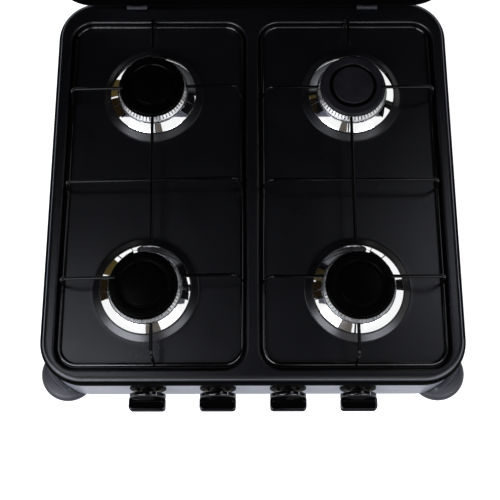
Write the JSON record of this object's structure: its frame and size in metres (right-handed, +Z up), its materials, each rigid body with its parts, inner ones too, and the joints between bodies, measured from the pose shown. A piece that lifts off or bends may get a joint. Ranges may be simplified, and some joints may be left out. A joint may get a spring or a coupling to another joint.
{
  "type": "countertop gas stove",
  "caption": "Low countertop gas stove with a hinged lid, burners in two pressed wells, wire pan supports, push-and-turn knobs on a flared front panel and round feet.",
  "frame": {"origin": "on the table under the middle of the stove's box with the lid open", "axes": "+X to the right, +Y to the back, +Z up"},
  "size_m": [0.528, 0.5968, 0.5685],
  "materials": {
    "black_enamel": "gloss black vitreous enamel",
    "silver_paint": "satin silver paint",
    "cast_aluminium": "machined and cast, bare",
    "cap_enamel": "matt black enamel",
    "chrome_plate": "polished",
    "support_enamel": "semi-gloss black enamel",
    "tap_brass": "turned",
    "bezel_plastic": "satin black",
    "knob_plastic": "satin gloss black",
    "foot_plastic": "fine grain, black",
    "zinc_steel": "zinc plated",
    "hinge_steel": "dark grey paint",
    "pipe_aluminium": "drawn tube"
  },
  "bodies": {
    "stove": {"bezel_screws": "tap_brass", "body_shell": "silver_paint", "burner_base_front_left": "cast_aluminium", "burner_base_front_right": "cast_aluminium", "burner_base_rear_left": "cast_aluminium", "burner_base_rear_right": "cast_aluminium", "burner_crown_front_left": "cast_aluminium", "burner_crown_front_right": "cast_aluminium", "burner_crown_rear_left": "cast_aluminium", "burner_crown_rear_right": "cast_aluminium", "burner_ring_front_left": "chrome_plate", "burner_ring_front_right": "chrome_plate", "burner_ring_rear_left": "chrome_plate", "burner_ring_rear_right": "chrome_plate", "burner_screws": "zinc_steel", "feed_pipes": "pipe_aluminium", "foot_front_left": "foot_plastic", "foot_front_right": "foot_plastic", "foot_rear_left": "foot_plastic", "foot_rear_right": "foot_plastic", "foot_screws": "zinc_steel", "front_panel": "silver_paint", "gas_inlet": "tap_brass", "gas_rail": "zinc_steel", "hinge_bracket_left": "hinge_steel", "hinge_bracket_right": "hinge_steel", "hinge_pins": "zinc_steel", "hinge_screws": "zinc_steel", "injectors": "tap_brass", "knob_bezel_1": "bezel_plastic", "knob_bezel_2": "bezel_plastic", "knob_bezel_3": "bezel_plastic", "knob_bezel_4": "bezel_plastic", "tap_body_1": "tap_brass", "tap_body_2": "tap_brass", "tap_body_3": "tap_brass", "tap_body_4": "tap_brass", "worktop": "black_enamel"},
    "lid": {"lid": "black_enamel", "lid_leaf_left": "hinge_steel", "lid_leaf_right": "hinge_steel"},
    "tap_plug_1": {"tap_plug_1": "tap_brass"},
    "knob_1": {"knob_1": "knob_plastic", "tap_spindle_1": "tap_brass"},
    "tap_plug_2": {"tap_plug_2": "tap_brass"},
    "knob_2": {"knob_2": "knob_plastic", "tap_spindle_2": "tap_brass"},
    "tap_plug_3": {"tap_plug_3": "tap_brass"},
    "knob_3": {"knob_3": "knob_plastic", "tap_spindle_3": "tap_brass"},
    "tap_plug_4": {"tap_plug_4": "tap_brass"},
    "knob_4": {"knob_4": "knob_plastic", "tap_spindle_4": "tap_brass"},
    "pan_support_left": {"pan_support_left": "support_enamel"},
    "pan_support_right": {"pan_support_right": "support_enamel"},
    "burner_cap_front_left": {"burner_cap_front_left": "cap_enamel"},
    "burner_cap_front_right": {"burner_cap_front_right": "cap_enamel"},
    "burner_cap_rear_left": {"burner_cap_rear_left": "cap_enamel"},
    "burner_cap_rear_right": {"burner_cap_rear_right": "cap_enamel"}
  },
  "joints": [
    {"name": "lid_hinge", "type": "hinge", "parent": "stove", "child": "lid", "pos_m": [0, 0.21346, 0.0948], "axis": [-1, 0, 0], "range_deg": [-96, 0]},
    {"name": "knob_1_turn", "type": "hinge", "parent": "stove", "child": "tap_plug_1", "pos_m": [-0.1256, -0.27084, 0.049], "axis": [0, -0.9925, 0.1219], "range_deg": [0, 180]},
    {"name": "knob_1_push", "type": "slide", "parent": "tap_plug_1", "child": "knob_1", "axis": [0, 0.9925, -0.1219], "range_m": [0, 0.003], "stiffness_N_per_m": 800, "springref_m": -0.003},
    {"name": "knob_2_turn", "type": "hinge", "parent": "stove", "child": "tap_plug_2", "pos_m": [-0.04187, -0.27084, 0.049], "axis": [0, -0.9925, 0.1219], "range_deg": [0, 180]},
    {"name": "knob_2_push", "type": "slide", "parent": "tap_plug_2", "child": "knob_2", "axis": [0, 0.9925, -0.1219], "range_m": [0, 0.003], "stiffness_N_per_m": 800, "springref_m": -0.003},
    {"name": "knob_3_turn", "type": "hinge", "parent": "stove", "child": "tap_plug_3", "pos_m": [0.04187, -0.27084, 0.049], "axis": [0, -0.9925, 0.1219], "range_deg": [0, 180]},
    {"name": "knob_3_push", "type": "slide", "parent": "tap_plug_3", "child": "knob_3", "axis": [0, 0.9925, -0.1219], "range_m": [0, 0.003], "stiffness_N_per_m": 800, "springref_m": -0.003},
    {"name": "knob_4_turn", "type": "hinge", "parent": "stove", "child": "tap_plug_4", "pos_m": [0.1256, -0.27084, 0.049], "axis": [0, -0.9925, 0.1219], "range_deg": [0, 180]},
    {"name": "knob_4_push", "type": "slide", "parent": "tap_plug_4", "child": "knob_4", "axis": [0, 0.9925, -0.1219], "range_m": [0, 0.003], "stiffness_N_per_m": 800, "springref_m": -0.003},
    {"name": "pan_support_left_lift", "type": "slide", "parent": "stove", "child": "pan_support_left", "axis": [0, 0, 1], "range_m": [0, 0.06]},
    {"name": "pan_support_right_lift", "type": "slide", "parent": "stove", "child": "pan_support_right", "axis": [0, 0, 1], "range_m": [0, 0.06]},
    {"name": "burner_cap_front_left_lift", "type": "slide", "parent": "stove", "child": "burner_cap_front_left", "axis": [0, 0, 1], "range_m": [0, 0.005]},
    {"name": "burner_cap_front_right_lift", "type": "slide", "parent": "stove", "child": "burner_cap_front_right", "axis": [0, 0, 1], "range_m": [0, 0.005]},
    {"name": "burner_cap_rear_left_lift", "type": "slide", "parent": "stove", "child": "burner_cap_rear_left", "axis": [0, 0, 1], "range_m": [0, 0.005]},
    {"name": "burner_cap_rear_right_lift", "type": "slide", "parent": "stove", "child": "burner_cap_rear_right", "axis": [0, 0, 1], "range_m": [0, 0.005]}
  ]
}
